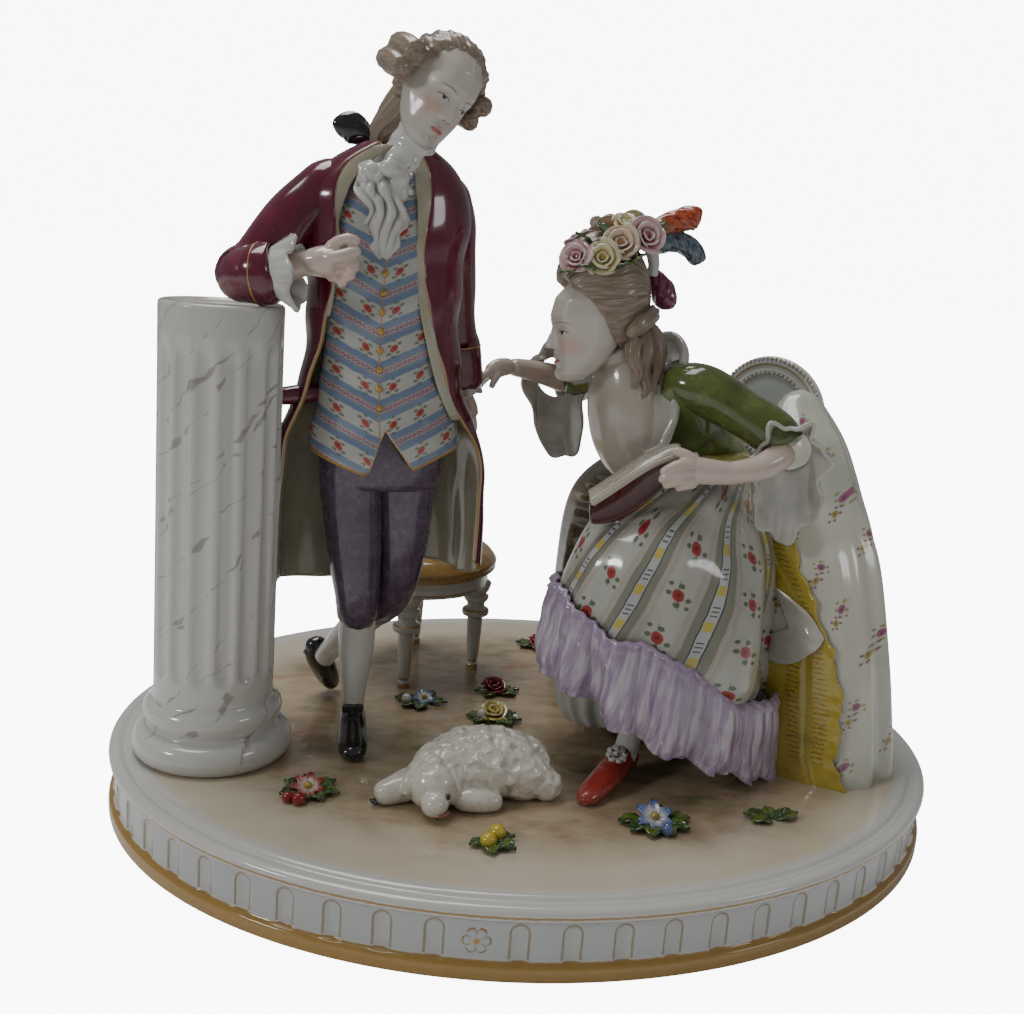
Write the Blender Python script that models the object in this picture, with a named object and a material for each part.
"""Porcelain group of a courting couple on an oval plinth.

A gentleman leans on a marbled fluted column, a lady sits on a medallion-back chair with a book,
a dog sleeps at their feet and a round stool stands behind. The pieces are the ones that a
porcelain repairer moulds one by one and then sets on the plinth.
Metres, +Z up. The origin is on the ground, under the middle of the plinth.
"""

import math

import bmesh
import bpy
from mathutils import Matrix, Vector

# Plinth
PLINTH_LENGTH = 0.300
PLINTH_DEPTH = 0.252
PLINTH_HEIGHT = 0.0235
GOLD_FOOT_HEIGHT = 0.0056
BAND_TOP = 0.0181
BAND_RECESS = 0.0018
FLUTE_PITCH = 0.0152
FLUTE_WIDTH = 0.0054
FLUTE_DEPTH = 0.0010
MEDALLION_FROM_FRONT = -0.0386
FIRST_FLUTE = 0.0121

# Figures. Their stations are given in parts of the gentleman's height, 242 parts to the height.
GENTLEMAN_HEIGHT = 0.242
HEIGHT_PARTS = 242.0
UNIT = GENTLEMAN_HEIGHT / HEIGHT_PARTS

# Column, as high as the elbow that leans on it
ELBOW_REST = 152.5
COLUMN_HEIGHT = ELBOW_REST * UNIT
COLUMN_X = -114.6 * UNIT
COLUMN_Y = -16.7 * UNIT
SHAFT_RADIUS = 0.0198
LOWER_TORUS_RADIUS = 0.0268
UPPER_TORUS_RADIUS = 0.0232
COLUMN_FLUTES = 16
COLUMN_FLUTE_DEPTH = 0.0013
COLUMN_TOP_RECESS = 0.0012
COLUMN_RIM = 0.0032

# Stool
STOOL_X = -0.0385
STOOL_Y = 0.0625
STOOL_SEAT_RADIUS = 0.0335
STOOL_FRAME_RADIUS = 0.0310
STOOL_LEG_CIRCLE = 0.0265
STOOL_LEG_LENGTH = 0.0375
STOOL_FRAME_HEIGHT = 0.0080
STOOL_CUSHION_HEIGHT = 0.0100
STOOL_LEG_RADIUS = 0.0030
STOOL_LEGS = 4
STOOL_FIRST_LEG = math.radians(-101.0)

# Chair
MEDALLION_X = 94.0 * UNIT
MEDALLION_Y = 25.0 * UNIT
MEDALLION_FACING = math.radians(215.0)
MEDALLION_HALF_WIDTH = 0.0245
MEDALLION_HALF_HEIGHT = 0.0230
MEDALLION_THICKNESS = 0.0052
CHAIR_HEIGHT = 142.0 * UNIT
CHAIR_LEG_RADIUS = 0.0029
CHAIR_RAIL_HEIGHT = 0.0600

# Making
JOINT_GAP = 0.0003
FUSING_GRAIN = 0.0009
FINE_GRAIN = 0.0005


def clear_scene():
    """Start from an empty file."""
    for item in list(bpy.data.objects):
        bpy.data.objects.remove(item)


def glaze(name, colour, roughness=0.15):
    """Make a glazed porcelain material."""
    material = bpy.data.materials.new(name)
    material.use_nodes = True
    shader = material.node_tree.nodes["Principled BSDF"]
    shader.inputs["Base Color"].default_value = (*colour, 1.0)
    shader.inputs["Roughness"].default_value = roughness
    shader.inputs["Metallic"].default_value = 0.0
    material.diffuse_color = (*colour, 1.0)
    return material


def blend(first, second, share):
    """Mix two numbers."""
    return first + (second - first) * share


def follow(stations, share):
    """Read a row of stations at a share of its length, on a smooth curve."""
    last = len(stations) - 1
    place = min(max(share, 0.0), 1.0) * last
    index = min(int(place), last - 1)
    step = place - index
    before = stations[max(index - 1, 0)]
    start = stations[index]
    end = stations[index + 1]
    after = stations[min(index + 2, last)]
    values = []
    for a, b, c, d in zip(before, start, end, after):
        slope = c - a
        bend = 2.0 * a - 5.0 * b + 4.0 * c - d
        twist = 3.0 * b - 3.0 * c + d - a
        values.append(b + 0.5 * step * (slope + step * (bend + step * twist)))
    return values


def at(x, y, height):
    """Place a point of the figures, given in parts, above the plinth's ground."""
    return Vector((x * UNIT, y * UNIT, PLINTH_HEIGHT + height * UNIT))


def grid(columns, rows, place):
    """Make a net of faces and lay each point where place(across, along) says."""
    form = bmesh.new()
    bmesh.ops.create_grid(form, x_segments=columns, y_segments=rows, size=1.0)
    reach = max(vert.co.x for vert in form.verts)
    for vert in form.verts:
        vert.co = place(0.5 + 0.5 * vert.co.x / reach, 0.5 + 0.5 * vert.co.y / reach)
    return form


def close(form):
    """Weld the seam and the ends of a tube, and turn its faces outwards."""
    bmesh.ops.remove_doubles(form, verts=form.verts, dist=0.00002)
    edges = [edge for edge in form.edges if edge.is_boundary]
    if edges:
        bmesh.ops.holes_fill(form, edges=edges, sides=0)
    bmesh.ops.recalc_face_normals(form, faces=form.faces)
    return form


def end_round(share, end):
    """Give the width of a tube near its two rounded ends."""
    near = min(share, 1.0 - share)
    if near >= end:
        return 1.0
    return math.sqrt(max(1.0 - (1.0 - near / end) ** 2, 0.0))


def drum(stations, columns=20, rows=16, end=0.08, fold=None):
    """Make an upright body from level rings: x, y, height, long and short radius, turn, slope."""
    full = [tuple(ring) + (0.0,) * (7 - len(ring)) for ring in stations]

    def place(across, along):
        x, y, height, long_radius, short_radius, turn, slope = follow(full, along)
        angle = math.tau * across
        width = end_round(along, end)
        if fold:
            width *= 1.0 + fold(angle, along)
        far = long_radius * width * math.cos(angle)
        side = short_radius * width * math.sin(angle)
        turned = math.radians(turn)
        step_x = far * math.cos(turned) - side * math.sin(turned)
        step_y = far * math.sin(turned) + side * math.cos(turned)
        return at(x + step_x, y + step_y, height + slope * step_x)

    return close(grid(columns, rows, place))


def limb(stations, columns=12, rows=16, end=0.06, side=(0.0, 1.0, 0.0)):
    """Make a round limb along a path: x, y, height, radius across the path and radius along side."""
    full = [tuple(ring) + (ring[3],) * (5 - len(ring)) for ring in stations]
    side_axis = Vector(side)

    def place(across, along):
        x, y, height, thick, wide = follow(full, along)
        ahead = Vector(follow(full, along + 0.01)[:3]) - Vector(follow(full, along - 0.01)[:3])
        across_axis = ahead.cross(side_axis).normalized()
        wide_axis = across_axis.cross(ahead).normalized()
        angle = math.tau * across
        width = end_round(along, end)
        step = across_axis * (thick * width * math.cos(angle)) + wide_axis * (wide * width * math.sin(angle))
        return at(x + step.x, y + step.y, height + step.z)

    return close(grid(columns, rows, place))


def lump(x, y, height, radii, turn=0.0, lean=0.0, columns=14, rows=10):
    """Make a rounded lump, leaned about Y and then turned about Z."""
    form = bmesh.new()
    bmesh.ops.create_uvsphere(form, u_segments=columns, v_segments=rows, radius=1.0)
    scale = Matrix.Diagonal((*[radius * UNIT for radius in radii], 1.0))
    lean_by = Matrix.Rotation(math.radians(lean), 4, "Y")
    turn_by = Matrix.Rotation(math.radians(turn), 4, "Z")
    move = Matrix.Translation(at(x, y, height))
    bmesh.ops.transform(form, matrix=move @ turn_by @ lean_by @ scale, verts=form.verts)
    return form


def slab(surface, columns, rows, thickness):
    """Give a surface place(across, along) a thickness, as a closed sheet."""
    item = as_object("sheet", grid(columns, rows, surface), None)
    wall = item.modifiers.new("Wall", "SOLIDIFY")
    wall.thickness = thickness * UNIT
    wall.offset = 0.0
    wall.use_even_offset = True
    settle(item)
    form = bmesh.new()
    form.from_mesh(item.data)
    bpy.data.objects.remove(item)
    bmesh.ops.recalc_face_normals(form, faces=form.faces)
    return form


def as_object(name, form, material):
    """Turn a modelled form into a named object."""
    mesh = bpy.data.meshes.new(name)
    form.to_mesh(mesh)
    form.free()
    item = bpy.data.objects.new(name, mesh)
    if material:
        item.data.materials.append(material)
    bpy.context.collection.objects.link(item)
    return item


def settle(item):
    """Apply an object's modifiers to its mesh."""
    depsgraph = bpy.context.evaluated_depsgraph_get()
    depsgraph.update()
    mesh = bpy.data.meshes.new_from_object(item.evaluated_get(depsgraph))
    item.modifiers.clear()
    item.data = mesh
    return item


def keep_largest(form):
    """Keep the largest body of a form, and drop the closed bubbles and crumbs."""
    unseen = set(form.verts)
    bodies = []
    while unseen:
        seed = unseen.pop()
        body = {seed}
        edge_of = [seed]
        while edge_of:
            vert = edge_of.pop()
            for edge in vert.link_edges:
                other = edge.other_vert(vert)
                if other in unseen:
                    unseen.discard(other)
                    body.add(other)
                    edge_of.append(other)
        bodies.append(body)
    bodies.sort(key=len, reverse=True)
    crumbs = [vert for body in bodies[1:] for vert in body]
    if crumbs:
        bmesh.ops.delete(form, geom=crumbs, context="VERTS")


def set_on_ground(form, ground):
    """Cut a form flat just above the surface it stands on."""
    bmesh.ops.bisect_plane(form, geom=form.verts[:] + form.edges[:] + form.faces[:], dist=0.000001,
                           plane_co=(0.0, 0.0, ground + JOINT_GAP), plane_no=(0.0, 0.0, -1.0),
                           clear_outer=True)
    edges = [edge for edge in form.edges if edge.is_boundary]
    if edges:
        bmesh.ops.holes_fill(form, edges=edges, sides=0)


def tidy(item, ground=None):
    """Leave one closed triangulated body with its faces turned outwards."""
    form = bmesh.new()
    form.from_mesh(item.data)
    bmesh.ops.remove_doubles(form, verts=form.verts, dist=0.00002)
    bmesh.ops.dissolve_degenerate(form, edges=form.edges, dist=0.00002)
    keep_largest(form)
    if ground is not None:
        set_on_ground(form, ground)
    bmesh.ops.triangulate(form, faces=form.faces)
    bmesh.ops.recalc_face_normals(form, faces=form.faces)
    form.to_mesh(item.data)
    form.free()
    return item


def fuse(name, forms, material, faces, grain=FUSING_GRAIN, ground=PLINTH_HEIGHT):
    """Cast several overlapping forms as one body with about the given number of triangles."""
    whole = bmesh.new()
    for form in forms:
        part = bpy.data.meshes.new("cast")
        form.to_mesh(part)
        form.free()
        whole.from_mesh(part)
        bpy.data.meshes.remove(part)
    item = as_object(name, whole, material)
    cast = item.modifiers.new("Cast", "REMESH")
    cast.mode = "VOXEL"
    cast.voxel_size = grain
    soften = item.modifiers.new("Soften", "SMOOTH")
    soften.factor = 0.5
    soften.iterations = 2
    settle(item)
    item.data.calc_loop_triangles()
    thin = item.modifiers.new("Thin", "DECIMATE")
    thin.ratio = min(1.0, faces / max(len(item.data.loop_triangles), 1))
    settle(item)
    return tidy(item, ground)


def fit_to(item, neighbour, gap=JOINT_GAP, ground=None):
    """Cut an object clear of its neighbour, with the joint gap between them."""
    grown = bmesh.new()
    grown.from_mesh(neighbour.data)
    grown.normal_update()
    shifts = [(vert, vert.normal * gap * 1.6) for vert in grown.verts]
    for vert, shift in shifts:
        vert.co += shift
    cutter = as_object("clearance", grown, neighbour.data.materials[0])
    cut = item.modifiers.new("Clearance", "BOOLEAN")
    cut.operation = "DIFFERENCE"
    cut.object = cutter
    settle(item)
    bpy.data.objects.remove(cutter)
    return tidy(item, ground)


def plinth_point(angle, inset, height):
    """Point of the oval plinth, set in from its widest outline."""
    long_radius = PLINTH_LENGTH / 2.0 - inset
    short_radius = PLINTH_DEPTH / 2.0 - inset
    return Vector((long_radius * math.cos(angle), short_radius * math.sin(angle), height))


def flute_angles():
    """Angles of both edges of each flute, in order round the outline from the medallion."""
    fine = 3600
    points = [plinth_point(-math.pi / 2.0 + math.tau * step / fine, 0.0, 0.0) for step in range(fine + 1)]
    lengths = [0.0]
    for before, here in zip(points[:-1], points[1:]):
        lengths.append(lengths[-1] + (here - before).length)
    whole = lengths[-1]
    run = whole - 2.0 * FIRST_FLUTE
    gaps = round(run / FLUTE_PITCH)
    angles = []
    for number in range(gaps + 1):
        for edge in (-0.5, 0.5):
            reach = MEDALLION_FROM_FRONT + FIRST_FLUTE + run * number / gaps + edge * FLUTE_WIDTH
            goal = reach % whole
            step = next(index for index in range(fine + 1) if lengths[index] >= goal)
            turns = math.floor(reach / whole)
            angles.append(-math.pi / 2.0 + math.tau * (turns + step / fine))
    return angles


def make_plinth():
    """Oval plinth with a gold foot, a band of upright flutes and a moulded rim."""
    profile = [
        (0.0, 0.0),
        (0.0, GOLD_FOOT_HEIGHT),
        (BAND_RECESS, GOLD_FOOT_HEIGHT + 0.0012),
        (BAND_RECESS, BAND_TOP),
        (0.0, PLINTH_HEIGHT - 0.0022),
        (0.0022, PLINTH_HEIGHT - 0.0004),
        (0.0055, PLINTH_HEIGHT - 0.0012),
        (0.0078, PLINTH_HEIGHT),
    ]
    angles = flute_angles()
    form = bmesh.new()
    rings = []
    for inset, height in profile:
        rings.append([form.verts.new(plinth_point(angle, inset, height)) for angle in angles])
    form.faces.new(list(reversed(rings[0])))
    form.faces.new(rings[-1])
    band = []
    count = len(angles)
    for lower, upper in zip(rings[:-1], rings[1:]):
        for index in range(count):
            after = (index + 1) % count
            face = form.faces.new((lower[index], lower[after], upper[after], upper[index]))
            if lower is rings[2] and index % 2 == 0:
                band.append(face)
    bmesh.ops.recalc_face_normals(form, faces=form.faces)
    bmesh.ops.inset_individual(form, faces=band, thickness=0.8 * FLUTE_DEPTH, depth=-FLUTE_DEPTH)
    bmesh.ops.triangulate(form, faces=form.faces)
    return as_object("plinth", form, glaze("painted_ground", (0.62, 0.52, 0.38)))


def make_column():
    """Fluted column on two tori, with a shallow recess in its top."""
    foot = PLINTH_HEIGHT + JOINT_GAP
    top = PLINTH_HEIGHT + COLUMN_HEIGHT
    torus = 0.0100
    profile = [
        (LOWER_TORUS_RADIUS - 0.0022, foot),
        (LOWER_TORUS_RADIUS, foot + 0.4 * torus),
        (LOWER_TORUS_RADIUS - 0.0014, foot + 0.85 * torus),
        (UPPER_TORUS_RADIUS - 0.0012, foot + 1.15 * torus),
        (UPPER_TORUS_RADIUS, foot + 1.55 * torus),
        (UPPER_TORUS_RADIUS - 0.0010, foot + 1.90 * torus),
        (SHAFT_RADIUS, foot + 2.1 * torus),
        (SHAFT_RADIUS, foot + 2.9 * torus),
        (SHAFT_RADIUS, foot + 3.1 * torus),
        (SHAFT_RADIUS, top - 0.0150),
        (SHAFT_RADIUS, top - 0.0120),
        (SHAFT_RADIUS, top - 0.0012),
        (SHAFT_RADIUS - 0.0012, top),
        (SHAFT_RADIUS - COLUMN_RIM, top),
        (SHAFT_RADIUS - COLUMN_RIM - 0.0008, top - COLUMN_TOP_RECESS),
    ]
    fluted = (8, 9)
    columns = 2 * COLUMN_FLUTES
    form = bmesh.new()
    rings = []
    for number, (radius, height) in enumerate(profile):
        ring = []
        for index in range(columns):
            depth = COLUMN_FLUTE_DEPTH if number in fluted and index % 2 == 1 else 0.0
            angle = math.tau * (index + 0.5) / columns
            reach = radius - depth
            ring.append(form.verts.new((COLUMN_X + reach * math.cos(angle),
                                        COLUMN_Y + reach * math.sin(angle), height)))
        rings.append(ring)
    form.faces.new(list(reversed(rings[0])))
    form.faces.new(rings[-1])
    for lower, upper in zip(rings[:-1], rings[1:]):
        for index in range(columns):
            after = (index + 1) % columns
            form.faces.new((lower[index], lower[after], upper[after], upper[index]))
    bmesh.ops.recalc_face_normals(form, faces=form.faces)
    bmesh.ops.triangulate(form, faces=form.faces)
    return as_object("column", form, glaze("veined_white", (0.82, 0.81, 0.79)))


def coat_skirt(across, along):
    """Open skirt of the coat, from its left front edge round the back to its right front edge."""
    angle = math.radians(blend(207.0, -22.0, across))
    wave = 1.6 * along * math.sin(9.0 * math.pi * across)
    long_radius = blend(23.5, 35.5, along ** 0.8) + wave
    short_radius = blend(14.0, 19.0, along) + wave
    height = blend(128.0, 58.5, along) + along * (4.0 * math.cos(math.tau * across) - 4.0 * (1.0 - across))
    x = blend(-62.5, -61.5, along) + long_radius * math.cos(angle)
    y = blend(-7.5, -1.0, along) + short_radius * math.sin(angle)
    return at(x, y, height)


def gentleman_forms():
    """Body, dress and hair of the leaning gentleman."""
    forms = []
    # Waistcoat and breeches over the trunk
    forms.append(drum([(-59, -12, 203, 7, 7), (-60.5, -11.5, 194, 15, 9), (-62.5, -11, 186, 21, 11.5),
                       (-62.5, -11.5, 172, 21.5, 14), (-62.5, -11.5, 156, 20.5, 14),
                       (-61.5, -11.5, 138, 20.5, 14), (-60.5, -11.5, 118, 23, 15.5),
                       (-60.5, -11, 103, 24, 15), (-61, -10, 96, 19, 11)], 24, 26, 0.05))
    # Coat over back, sides and shoulders
    forms.append(drum([(-61, -8, 205, 9, 7), (-62.5, -7, 199, 20, 9), (-63.5, -6.5, 188, 26.5, 12.5),
                       (-63, -5.5, 165, 25.5, 13.5), (-62.5, -6, 142, 24, 14),
                       (-62, -6, 126, 25.5, 15), (-62, -5, 112, 26, 15)], 24, 20, 0.06))
    forms.append(slab(coat_skirt, 40, 14, 2.4))
    # Legs and shoes
    forms.append(limb([(-71, -9, 112, 11), (-70.5, -10, 90, 10.5), (-68, -12, 62, 8.4), (-67, -12, 52, 7.0),
                       (-66.5, -9.5, 44, 6.4), (-66.5, -8.5, 34, 6.3), (-66.8, -10.5, 20, 4.5),
                       (-67, -11, 10, 4.0), (-67, -10, 2, 4.4)], 14, 24, 0.02))
    forms.append(limb([(-52, -8, 112, 11), (-52.3, -7, 88, 10.4), (-52.5, -6, 62, 8.4), (-54, -3, 52, 7.0),
                       (-60, 4, 43, 6.3), (-66, 12, 34, 5.6), (-73, 20, 23, 4.2), (-76, 24, 17, 4.0)],
                      14, 22, 0.03))
    forms.append(limb([(-66.4, -2, 4.6, 4.4, 3.6), (-66.6, -8, 5.4, 6.0, 4.2), (-67.0, -18, 4.6, 5.0, 4.8),
                       (-67.4, -27, 3.4, 3.4, 5.0), (-67.7, -33, 2.4, 2.4, 3.2)], 12, 14, 0.10,
                      side=(1.0, 0.0, 0.0)))
    forms.append(limb([(-79, 28, 24, 3.6), (-77, 27, 17, 4.6), (-74, 30, 9, 4.6), (-71, 33, 3, 3.6)],
                      12, 12, 0.12))
    # Arm bent over the column
    forms.append(limb([(-81, -8, 191, 9.5), (-92, -11, 181, 9.4), (-103, -15, 165.5, 8.8),
                       (-108.5, -18, 161.5, 8.6), (-106, -22, 161.5, 9.0), (-100, -25, 162.5, 9.3),
                       (-95, -26.5, 163.5, 9.3)], 14, 22, 0.06))
    forms.append(limb([(-97, -26.5, 163.5, 6.0), (-93, -27, 163, 11.0, 9.0), (-90, -27, 160.5, 12.5, 9.5),
                       (-88, -27.5, 160, 9.0, 7.0)], 14, 10, 0.12))
    forms.append(limb([(-92, -27, 164, 4.6), (-84, -28.5, 165.5, 4.6, 4.0), (-77, -30, 165.5, 6.2, 4.6),
                       (-71, -31, 164.5, 5.6, 4.0), (-67.5, -31.5, 165.5, 2.6, 2.6)], 12, 12, 0.10))
    forms.append(limb([(-78, -30, 169, 2.6), (-72.5, -31, 171.5, 2.0), (-68, -31.5, 170.5, 1.5)], 8, 8, 0.2))
    # Hanging arm
    forms.append(limb([(-44, -5, 189, 9), (-40.5, -1, 172, 8.8), (-38.5, 2.5, 154, 8.2),
                       (-35.5, 4.5, 138, 7.8), (-33, 5, 127, 8.0)], 14, 18, 0.06))
    forms.append(limb([(-32, 5, 129, 4.6), (-30, 5.5, 122, 4.6, 3.8), (-29, 5, 115, 4.2, 3.0),
                       (-29, 4, 110, 2.6, 2.0)], 10, 8, 0.15))
    # Stock and jabot
    forms.append(limb([(-61, -11, 192, 8.4), (-57.5, -12, 200, 7.6), (-54.5, -12.5, 209, 6.6)], 14, 8, 0.05))
    forms.append(limb([(-59, -20, 198, 5.0, 4.0), (-60, -24.5, 188, 6.4, 4.0), (-59.8, -25.5, 178, 5.6, 3.6),
                       (-59.5, -25.5, 169, 3.2, 2.4)], 12, 10, 0.12))
    # Head, wig, side rolls, queue and bow
    forms.append(lump(-49.5, -13.5, 220.5, (10.8, 12.4, 15.6), turn=20.0, lean=6.0, columns=18, rows=14))
    forms.append(lump(-47.8, -9.5, 226.0, (14.8, 14.6, 15.8), turn=20.0, lean=6.0, columns=18, rows=14))
    forms.append(limb([(-59.5, -20, 234, 3.8), (-61, -13, 235, 4.8), (-60, -5, 233, 4.2)], 10, 8, 0.15,
                      side=(0.0, 0.0, 1.0)))
    forms.append(limb([(-37, -19, 216, 3.4), (-35.5, -13, 216, 4.6), (-37, -5, 216, 4.0)], 10, 8, 0.15,
                      side=(0.0, 0.0, 1.0)))
    forms.append(limb([(-54, 0, 222, 9), (-61, 4, 214, 7), (-66, 6, 208, 4.4), (-66, 7, 196, 4.0),
                       (-65, 7, 184, 3.4)], 12, 12, 0.08))
    forms.append(limb([(-79, 6.5, 212.5, 4.4, 2.4), (-74, 6.5, 210, 3.8, 2.2), (-67, 7, 208, 3.2, 3.0),
                       (-60, 8, 209, 4.6, 2.4)], 10, 10, 0.12))
    # Strut from the coat to the column
    forms.append(limb([(-97, -12, 122, 2.8, 3.6), (-89, -11, 123, 3.4, 4.0), (-82, -10, 124, 3.0)], 8, 6, 0.1))
    return forms


def robe_side(rings):
    """One draped side of the open robe, over the seat and down to the ground."""
    def fold(angle, along):
        return 0.05 * (1.0 - along) * math.cos(9.0 * angle + 0.6)

    return drum(rings, 44, 22, 0.02, fold)


def lady_forms():
    """Body, dress and hair of the seated lady, with her book."""
    forms = []
    hip_turn = 33.0
    # Petticoat with its gathered flounce, lifted on the left
    forms.append(drum([(46, -23, 15, 51, 37, hip_turn, -0.42), (45, -23, 22, 52, 38, hip_turn, -0.40),
                       (43.5, -24, 42, 49.5, 36, hip_turn, -0.22), (43, -24, 60, 46, 33, hip_turn, -0.12),
                       (43, -24, 78, 42, 29, hip_turn, -0.02), (43.5, -22, 89, 36.5, 23, hip_turn, 0.02),
                       (50, -13, 97, 27, 19, hip_turn, 0.02), (61, 0, 106, 14, 15, hip_turn)], 44, 26, 0.025,
                      lambda angle, along: 0.035 * (1.0 - along) ** 1.5 * math.cos(14.0 * angle)))
    # Underskirt showing below the lifted hem
    forms.append(drum([(27, -12, 10, 17, 13, 30), (24, -12, 22, 19, 15, 30), (25, -14, 45, 20, 17, 30)],
                      16, 8, 0.12))
    # Seat of the gown under the lady
    forms.append(drum([(76, 6, -2, 24, 24), (76, 6, 40, 22, 22), (74, 5, 80, 20, 22), (66, 3, 104, 14, 15)],
                      20, 12, 0.04))
    forms.append(robe_side([(100, -24, -2, 27, 37, 20), (100, -23, 12, 26, 36, 20), (99, -21, 45, 23, 33, 15),
                            (99, -14, 78, 22, 28, 10), (97, -7, 98, 20.5, 22, 0),
                            (97, -1, 114, 16, 16, 0), (97, 4, 127, 9, 8, 0)]))
    forms.append(robe_side([(55, 52, -2, 37, 33, 40), (53, 51, 45, 37.5, 31, 40), (50, 44, 78, 34, 26, 40),
                            (53, 35, 96, 29, 21, 40), (64, 22, 110, 17, 14, 40)]))
    # Trunk and shoulders, leaning forward
    side = (0.543, -0.84, 0.0)
    forms.append(limb([(64, 2, 98, 14, 16), (61, 0, 106, 12.5, 14), (53, -4, 114, 13, 17),
                       (44, -8.5, 122, 14, 20), (37, -11.5, 130, 12, 22), (30, -12.5, 136, 8.5, 17),
                       (25, -13, 140, 6, 8)], 22, 20, 0.06, side=side))
    forms.append(lump(27, -14.5, 121, (13, 16, 12), turn=33.0))
    # Collar frill
    forms.append(limb([(42, -22, 118, 3, 3.4), (46, -20, 134, 3.4, 4), (45, -14, 146, 3.0, 4),
                       (39, -3, 146, 2.6, 3.6), (30, 3, 136, 2.4, 3.2)], 10, 16, 0.1))
    # Neck and head
    forms.append(limb([(29, -13, 132, 8.0), (21, -14, 139, 6.6), (15, -15, 146, 6.6)], 14, 8, 0.05))
    forms.append(lump(5.0, -17.0, 152.5, (12.4, 10.8, 16.5), turn=28.0, lean=-6.0, columns=18, rows=14))
    # Upswept hair, nape curls, garland and feathers
    forms.append(lump(13.0, -12.5, 162.5, (14.4, 13.6, 20.5), turn=20.0, lean=12.0, columns=18, rows=14))
    forms.append(limb([(19, -12, 156, 9.0), (23, -13, 147, 6.5), (25, -16, 137, 5.5), (26, -19, 129, 4.2)],
                      12, 10, 0.1))
    forms.append(limb([(-3, -19, 168.5, 4.4), (2, -20, 174.5, 5.0), (9.5, -19, 179.5, 5.4), (18, -16, 183, 5.4),
                       (27, -11, 184.5, 4.8)], 12, 14, 0.1))
    forms.append(limb([(28, -9, 184, 3.6), (36, -9, 189.5, 4.2), (43, -9.5, 190.5, 3.4)], 10, 8, 0.15))
    forms.append(limb([(29, -8, 178, 3.6), (37, -8, 181, 4.0), (43, -9, 178, 3.4), (45.5, -10, 174, 2.4)],
                      10, 8, 0.15))
    forms.append(limb([(28, -8, 170, 4.0), (33, -9, 165, 4.8), (33.5, -10, 158, 4.2)], 10, 8, 0.15))
    # Near arm with its hanging lace cuff
    forms.append(limb([(42, -25, 134, 8.8), (50, -30, 131.5, 8.6), (60, -35.5, 126, 8.2), (69, -40, 121, 8.0),
                       (72, -43, 117, 7.4)], 14, 16, 0.08))
    forms.append(limb([(74, -44, 116, 6.0), (67, -47, 113, 4.9), (58, -49.5, 110.5, 4.2), (51, -50.5, 109, 3.5),
                       (43, -50, 107.5, 4.6, 3.0), (36, -48, 105, 4.4, 2.6), (29, -46, 104, 2.4, 2.0)],
                      12, 18, 0.05, side=(0.3, -1.0, 0.3)))
    forms.append(drum([(75, -45, 82, 6, 5, 20), (74, -45, 90, 12, 9.5, 20), (74, -44, 104, 14.5, 11, 20),
                       (74, -43, 115, 12, 10, 20), (74, -42, 122, 7, 7, 20)], 22, 12, 0.1,
                      lambda angle, along: 0.10 * (1.0 - along) * math.cos(6.0 * angle)))
    # Far arm reaching for the gentleman's hand
    forms.append(limb([(24, 6, 135, 8.4), (18, 20, 131, 8.2), (15, 30, 126.5, 7.6), (10, 30, 127, 7.0)],
                      12, 12, 0.1, side=(0.0, 0.0, 1.0)))
    forms.append(limb([(12, 30, 127, 5.6), (4, 26, 129.5, 4.8), (-6, 20, 131.8, 4.0), (-14, 15, 133.4, 3.2),
                       (-20, 11.5, 132.6, 3.8, 2.8), (-25, 9.5, 127, 3.4, 2.4), (-27, 9, 121, 1.8, 1.8)],
                      12, 18, 0.06))
    forms.append(drum([(14, 25, 97, 7, 6), (13, 26, 105, 11.5, 9), (11, 27, 116, 11, 9.5),
                       (9, 28, 127, 9, 8.5), (9, 29, 135, 5, 5)], 18, 12, 0.12,
                      lambda angle, along: 0.10 * (1.0 - along) * math.cos(5.0 * angle)))
    # Open book in the near hand
    forms.append(slab(lambda across, along: at(blend(8.0, 39.0, across) + 3.0 * along,
                                               blend(-46.0, -44.0, across) + 7.0 * along,
                                               blend(94.0, 102.0, across) + 12.5 * along), 4, 4, 4.0))
    # Stockinged leg and shoe
    forms.append(limb([(36, -30, 40, 6.6), (31, -36, 26, 5.2), (27, -42, 14, 4.2), (24.5, -45.5, 8, 4.4)],
                      12, 10, 0.05))
    forms.append(limb([(29, -41, 6.5, 5.6, 3.4), (23, -47, 6.4, 5.6, 4.2), (15, -56, 4.6, 4.2, 4.8),
                       (8, -63.5, 3.0, 3.0, 4.2), (4.8, -67, 2.2, 2.0, 2.6)], 12, 14, 0.1,
                      side=(0.77, -0.64, 0.0)))
    return forms


def dog_forms():
    """Curly dog asleep with its head on its paw."""
    forms = [
        lump(-24, -53, 9.0, (22, 14, 11.5), turn=4.0, columns=18, rows=12),
        lump(-12, -56, 7.5, (11, 11, 9.5)),
        lump(-36, -56, 8.5, (13, 12, 11.0)),
        lump(-42, -64, 7.5, (8.6, 8.6, 8.4), turn=-30.0),
        lump(-42.5, -71, 4.8, (5.0, 5.8, 4.6)),
        lump(-36, -64.5, 9.0, (3.6, 4.4, 6.4), lean=20.0),
        lump(-49, -62, 8.0, (3.6, 4.4, 6.2), lean=-25.0),
    ]
    forms.append(limb([(-46, -58, 6, 6.2), (-54, -60, 4.2, 5.0), (-60, -61.5, 3.0, 3.8)], 12, 8, 0.15))
    forms.append(limb([(-36, -66, 4, 4.4), (-27, -68, 3.4, 3.8), (-19, -67, 3.0, 3.4)], 12, 8, 0.15))
    for index in range(14):
        angle = math.tau * index / 14.0
        x = -25.0 + 17.0 * math.cos(angle)
        y = -54.0 + 9.5 * math.sin(angle)
        forms.append(lump(x, y, 14.5 + 1.5 * math.sin(2.7 * index), (4.6, 4.2, 4.0), columns=8, rows=6))
    return forms


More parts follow.
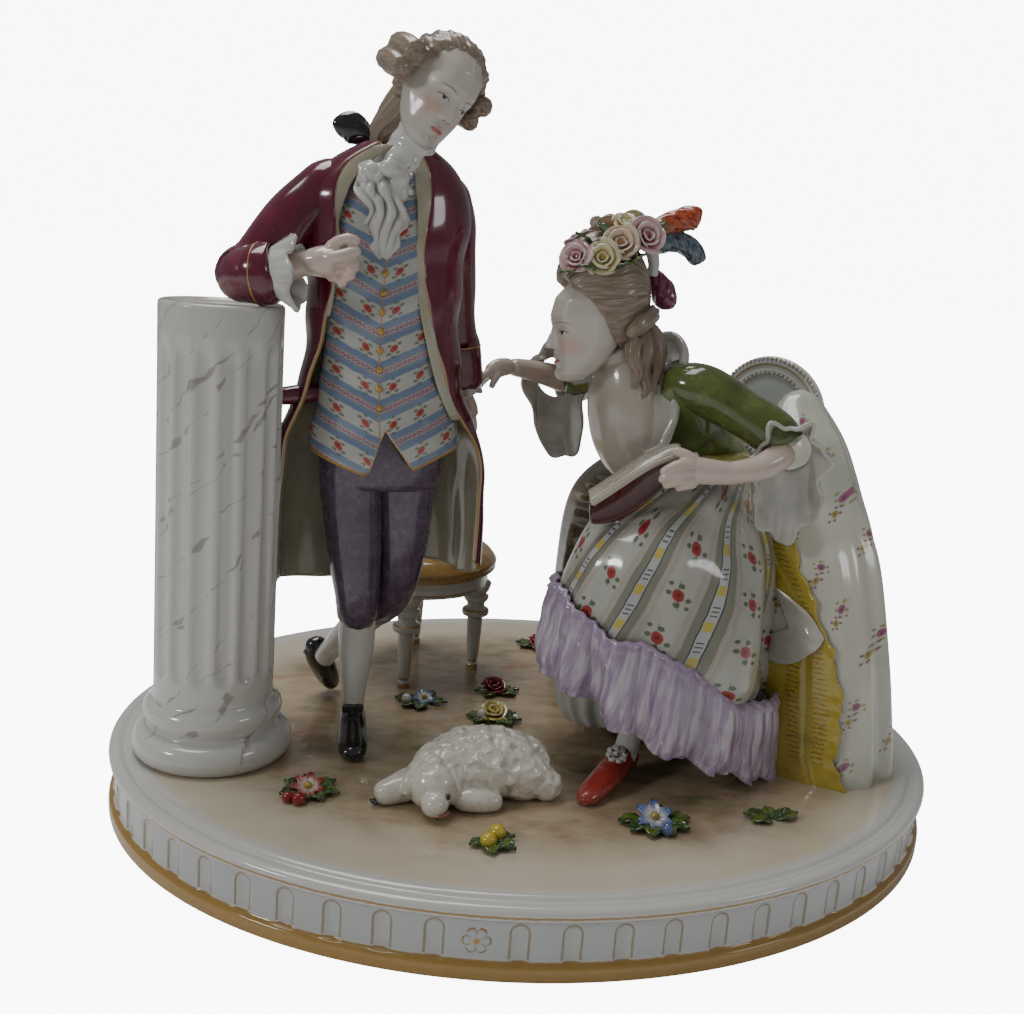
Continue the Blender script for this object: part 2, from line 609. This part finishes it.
def make_stool():
    """Round upholstered stool on turned legs."""
    forms = []
    ground = PLINTH_HEIGHT
    frame_low = ground + STOOL_LEG_LENGTH
    frame_top = frame_low + STOOL_FRAME_HEIGHT

    def turned(profile, x, y, columns):
        def place(across, along):
            radius, height = follow(profile, along)
            angle = math.tau * across
            return Vector((x + radius * math.cos(angle), y + radius * math.sin(angle), height))
        return close(grid(columns, 4 * len(profile), place))

    seat = [(0.0, frame_low), (STOOL_FRAME_RADIUS * 0.9, frame_low), (STOOL_FRAME_RADIUS, frame_low + 0.001),
            (STOOL_FRAME_RADIUS, frame_top), (STOOL_SEAT_RADIUS, frame_top + 0.0012),
            (STOOL_SEAT_RADIUS, frame_top + 0.35 * STOOL_CUSHION_HEIGHT),
            (STOOL_SEAT_RADIUS * 0.86, frame_top + 0.75 * STOOL_CUSHION_HEIGHT),
            (STOOL_SEAT_RADIUS * 0.5, frame_top + 0.97 * STOOL_CUSHION_HEIGHT),
            (0.0, frame_top + STOOL_CUSHION_HEIGHT)]
    forms.append(turned(seat, STOOL_X, STOOL_Y, 40))
    leg = STOOL_LEG_RADIUS
    shape = [(0.0, ground - 0.002), (0.75 * leg, ground - 0.002), (0.8 * leg, ground + 0.004),
             (1.1 * leg, ground + 0.62 * STOOL_LEG_LENGTH), (1.9 * leg, ground + 0.70 * STOOL_LEG_LENGTH),
             (1.3 * leg, ground + 0.78 * STOOL_LEG_LENGTH), (1.7 * leg, ground + 0.86 * STOOL_LEG_LENGTH),
             (1.9 * leg, frame_low + 0.002), (0.0, frame_low + 0.003)]
    for index in range(STOOL_LEGS):
        angle = STOOL_FIRST_LEG + math.tau * index / STOOL_LEGS
        x = STOOL_X + STOOL_LEG_CIRCLE * math.cos(angle)
        y = STOOL_Y + STOOL_LEG_CIRCLE * math.sin(angle)
        forms.append(turned(shape, x, y, 12))
    return fuse("stool", forms, glaze("stool_ochre", (0.52, 0.33, 0.08)), 540, 0.0007)


def medallion_frame():
    """Middle of the chair's medallion back, its facing direction and its side direction."""
    facing = Vector((math.cos(MEDALLION_FACING), math.sin(MEDALLION_FACING), 0.0))
    side = Vector((-facing.y, facing.x, 0.0))
    middle = Vector((MEDALLION_X, MEDALLION_Y, PLINTH_HEIGHT + CHAIR_HEIGHT - MEDALLION_HALF_HEIGHT))
    return middle, facing, side


def make_chair():
    """Medallion chair back on its rear legs and rail; the gown hides the rest."""
    middle, facing, side = medallion_frame()
    half = MEDALLION_THICKNESS / 2.0
    profile = [(0.0, -half * 0.6), (0.70, -half * 0.8), (0.80, -half), (0.94, -half), (1.0, -half * 0.5),
               (1.0, half * 0.5), (0.94, half), (0.80, half), (0.76, half * 0.5), (0.4, half * 0.9), (0.0, half)]

    def place(across, along):
        reach, depth = follow(profile, along)
        angle = math.tau * across
        return (middle + facing * depth + side * (MEDALLION_HALF_WIDTH * reach * math.cos(angle))
                + Vector((0.0, 0.0, MEDALLION_HALF_HEIGHT * reach * math.sin(angle))))

    forms = [close(grid(36, 36, place))]
    spread = 0.62 * MEDALLION_HALF_WIDTH
    rail = PLINTH_HEIGHT + CHAIR_RAIL_HEIGHT
    bottom = middle.z - 0.70 * MEDALLION_HALF_HEIGHT
    leg = CHAIR_LEG_RADIUS

    def post(points):
        return limb([(point.x / UNIT, point.y / UNIT, (point.z - PLINTH_HEIGHT) / UNIT, radius / UNIT)
                     for point, radius in points], 10, 16, 0.05, side=tuple(facing))

    for way in (-1.0, 1.0):
        foot = middle + side * (way * spread) - facing * 0.008
        knee = middle + side * (way * spread) - facing * 0.001
        forms.append(post([(Vector((foot.x, foot.y, PLINTH_HEIGHT - 0.002)), 0.8 * leg),
                           (Vector((knee.x, knee.y, rail - 0.012)), 1.2 * leg),
                           (Vector((knee.x, knee.y, rail)), 1.4 * leg),
                           (Vector((knee.x, knee.y, bottom)), 1.2 * leg)]))
    forms.append(post([(Vector((middle.x, middle.y, rail)) - side * spread, 1.5 * leg),
                       (Vector((middle.x, middle.y, rail)) + facing * 0.002, 1.5 * leg),
                       (Vector((middle.x, middle.y, rail)) + side * spread, 1.5 * leg)]))
    return fuse("chair", forms, glaze("chair_white", (0.80, 0.79, 0.75)), 420, 0.0007)


def sprig(name, x, y, bloom, petals, leaves, colour, faces=84):
    """Applied flower: a cupped bloom of petals on a low bed of leaves."""
    forms = []
    if bloom:
        def petal(angle, along):
            return 0.16 * math.cos(petals * angle) * (0.3 + along)
        forms.append(drum([(x, y, -1, 0.5 * bloom, 0.5 * bloom), (x, y, 0.9 * bloom, 0.8 * bloom, 0.8 * bloom),
                           (x, y, 1.15 * bloom, bloom, bloom), (x, y, 1.0 * bloom, 0.4 * bloom, 0.4 * bloom)],
                          20, 10, 0.05, petal))
    for direction, length in leaves:
        turned = math.radians(direction)
        reach = bloom * 0.5 + length * 0.5
        forms.append(lump(x + reach * math.cos(turned), y + reach * math.sin(turned), 1.4,
                          (length * 0.62, length * 0.42, 2.0), turn=direction, columns=10, rows=6))
    return fuse(name, forms, glaze(name + "_paint", colour), faces, FINE_GRAIN)


def make_sprigs():
    """Flowers, buds, berries and leaves applied to the ground."""
    sprig("flower_red_white", -83.0, -52.0, 5.2, 6, [(200, 7), (260, 7), (330, 8), (30, 8), (110, 7)],
          (0.45, 0.06, 0.05), 80)
    sprig("flower_small_blue", -37.0, 21.0, 4.0, 5, [(170, 8), (250, 8), (340, 7), (60, 7)],
          (0.10, 0.22, 0.50), 70)
    sprig("rose_yellow", -12.5, 5.0, 4.6, 4, [(180, 8), (300, 8), (10, 7), (90, 7)], (0.65, 0.58, 0.15), 70)
    sprig("rose_dark_red", -7.5, 31.0, 4.4, 5, [(190, 6), (320, 8), (30, 8)], (0.20, 0.01, 0.02), 64)
    sprig("rosebud_behind", 22.0, 85.0, 3.6, 4, [(170, 8), (200, 7), (350, 7)], (0.45, 0.03, 0.06), 60)
    sprig("berries_yellow", -30.0, -88.0, 3.2, 3, [(270, 8), (320, 9), (10, 8)], (0.72, 0.50, 0.05), 60)
    sprig("flower_blue", 25.5, -78.5, 5.4, 5, [(180, 8), (240, 8), (300, 8), (0, 8)], (0.08, 0.20, 0.55), 80)
    sprig("leaf_pair", 66.0, -79.0, 0.0, 0, [(10, 9), (170, 9)], (0.05, 0.16, 0.03), 40)


def main():
    """Build every piece of the group."""
    clear_scene()
    make_plinth()
    column = make_column()
    gentleman = fuse("gentleman", gentleman_forms(), glaze("coat_maroon", (0.20, 0.01, 0.05)), 1800)
    fit_to(gentleman, column)
    make_stool()
    chair = make_chair()
    lady = fuse("lady", lady_forms(), glaze("gown_white", (0.74, 0.75, 0.68)), 2100)
    fit_to(lady, chair)
    fit_to(lady, gentleman)
    fuse("dog", dog_forms(), glaze("dog_white", (0.80, 0.79, 0.76)), 460, 0.0008)
    make_sprigs()


main()
